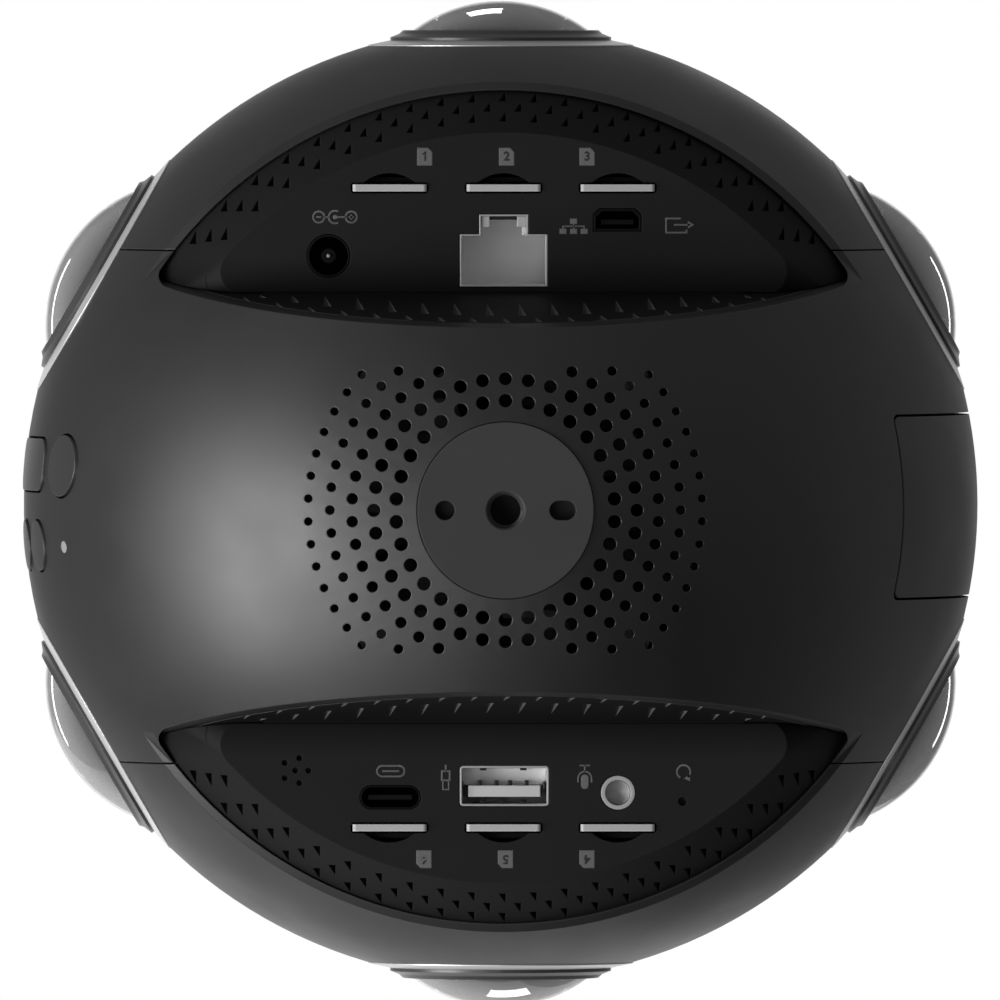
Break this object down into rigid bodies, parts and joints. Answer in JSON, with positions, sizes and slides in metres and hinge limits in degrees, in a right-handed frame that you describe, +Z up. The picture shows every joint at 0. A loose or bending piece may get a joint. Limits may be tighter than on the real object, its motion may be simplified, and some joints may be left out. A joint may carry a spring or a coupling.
{
  "type": "360 degree camera",
  "caption": "Ball-shaped 360-degree camera with domed lenses round its middle, ports and card slots in recesses underneath, a slide-out battery and a tripod socket.",
  "frame": {"origin": "centre of the tripod plate's face, on the surface that the camera stands on", "axes": "+X towards the battery, -Y towards the recess with the network jack, +Y towards the recess with the wide data port, +Z up"},
  "size_m": [0.1361, 0.1436, 0.1351],
  "materials": {
    "charcoal_body": "matte charcoal coat",
    "recess_black": "matte black moulding",
    "plate_grey": "matte dark anodised",
    "button_black": "matte black",
    "silver_ring": "satin silver",
    "bezel_black": "satin black anodised",
    "lens_glass": "polished and coated",
    "lens_coating": "polished and coated",
    "circuit_green": "green solder mask",
    "port_metal": "plated steel",
    "port_black": "black moulding",
    "card_white": "pale satin plastic",
    "battery_grey": "dark moulding",
    "bay_grey": "grey moulding",
    "frame_metal": "machined",
    "contact_gold": "gold plated",
    "window_black": "polished black",
    "light_white": "milky clear plastic"
  },
  "bodies": {
    "housing": {"lower_shell": "charcoal_body", "upper_shell": "charcoal_body", "front_cap": "charcoal_body", "rear_cap": "charcoal_body", "front_port_panel": "recess_black", "rear_port_panel": "recess_black", "front_vent_ring": "recess_black", "rear_vent_ring": "recess_black", "front_top_vent": "recess_black", "rear_top_vent": "recess_black", "vent_walls": "recess_black", "tripod_plate": "plate_grey", "lens_seats": "silver_ring", "lens_bezels": "bezel_black", "lens_barrels": "bezel_black", "lens_glass_1": "lens_glass", "lens_glass_2": "lens_glass", "lens_glass_3": "lens_glass", "lens_glass_4": "lens_glass", "lens_glass_5": "lens_glass", "lens_glass_6": "lens_glass", "lens_elements": "lens_coating", "button_board": "circuit_green", "front_port_board": "circuit_green", "rear_port_board": "circuit_green", "main_board": "circuit_green", "sensor_boards": "circuit_green", "lan_jack": "port_metal", "usb_a_port": "port_metal", "audio_jack": "port_metal", "front_card_sockets": "port_metal", "rear_card_sockets": "port_metal", "microphone": "port_metal", "fan_screws": "port_metal", "dc_jack": "port_black", "hdmi_port": "port_black", "usb_c_port": "port_black", "fan_housing": "port_black", "battery_bay": "bay_grey", "inner_frame": "frame_metal", "heat_sink": "frame_metal", "battery_contacts": "contact_gold", "display_window": "window_black", "display_panel": "window_black", "indicator_light": "light_white"},
    "battery": {"battery_cover": "charcoal_body", "battery_case": "battery_grey"},
    "shutter": {"shutter_button": "button_black"},
    "power": {"power_button": "button_black"},
    "mode": {"mode_button": "button_black"},
    "select": {"select_button": "button_black"},
    "reset": {"reset_button": "button_black"},
    "fan": {"fan_rotor": "port_black"},
    "card_1": {"memory_card_1": "card_white"},
    "card_2": {"memory_card_2": "card_white"},
    "card_3": {"memory_card_3": "card_white"},
    "card_4": {"memory_card_4": "card_white"},
    "card_5": {"memory_card_5": "card_white"},
    "card_6": {"memory_card_6": "card_white"}
  },
  "joints": [
    {"name": "battery_slide", "type": "slide", "parent": "housing", "child": "battery", "axis": [1, 0, 0], "range_m": [0, 0.085]},
    {"name": "shutter_press", "type": "slide", "parent": "housing", "child": "shutter", "axis": [1, 0, 0], "range_m": [0, 0.0005], "stiffness_N_per_m": 800},
    {"name": "power_press", "type": "slide", "parent": "housing", "child": "power", "axis": [1, 0, 0], "range_m": [0, 0.0005], "stiffness_N_per_m": 800},
    {"name": "mode_press", "type": "slide", "parent": "housing", "child": "mode", "axis": [1, 0, 0], "range_m": [0, 0.0005], "stiffness_N_per_m": 800},
    {"name": "select_press", "type": "slide", "parent": "housing", "child": "select", "axis": [1, 0, 0], "range_m": [0, 0.0005], "stiffness_N_per_m": 800},
    {"name": "reset_press", "type": "slide", "parent": "housing", "child": "reset", "axis": [0, 0, 1], "range_m": [0, 0.0003], "stiffness_N_per_m": 600},
    {"name": "card_1_slide", "type": "slide", "parent": "housing", "child": "card_1", "axis": [0, 0, -1], "range_m": [0, 0.014]},
    {"name": "card_2_slide", "type": "slide", "parent": "housing", "child": "card_2", "axis": [0, 0, -1], "range_m": [0, 0.014]},
    {"name": "card_3_slide", "type": "slide", "parent": "housing", "child": "card_3", "axis": [0, 0, -1], "range_m": [0, 0.014]},
    {"name": "card_4_slide", "type": "slide", "parent": "housing", "child": "card_4", "axis": [0, 0, -1], "range_m": [0, 0.014]},
    {"name": "card_5_slide", "type": "slide", "parent": "housing", "child": "card_5", "axis": [0, 0, -1], "range_m": [0, 0.014]},
    {"name": "card_6_slide", "type": "slide", "parent": "housing", "child": "card_6", "axis": [0, 0, -1], "range_m": [0, 0.014]},
    {"name": "fan_spin", "type": "hinge", "parent": "housing", "child": "fan", "pos_m": [0, 0, 0.01685], "axis": [0, 0, 1], "continuous": true}
  ]
}
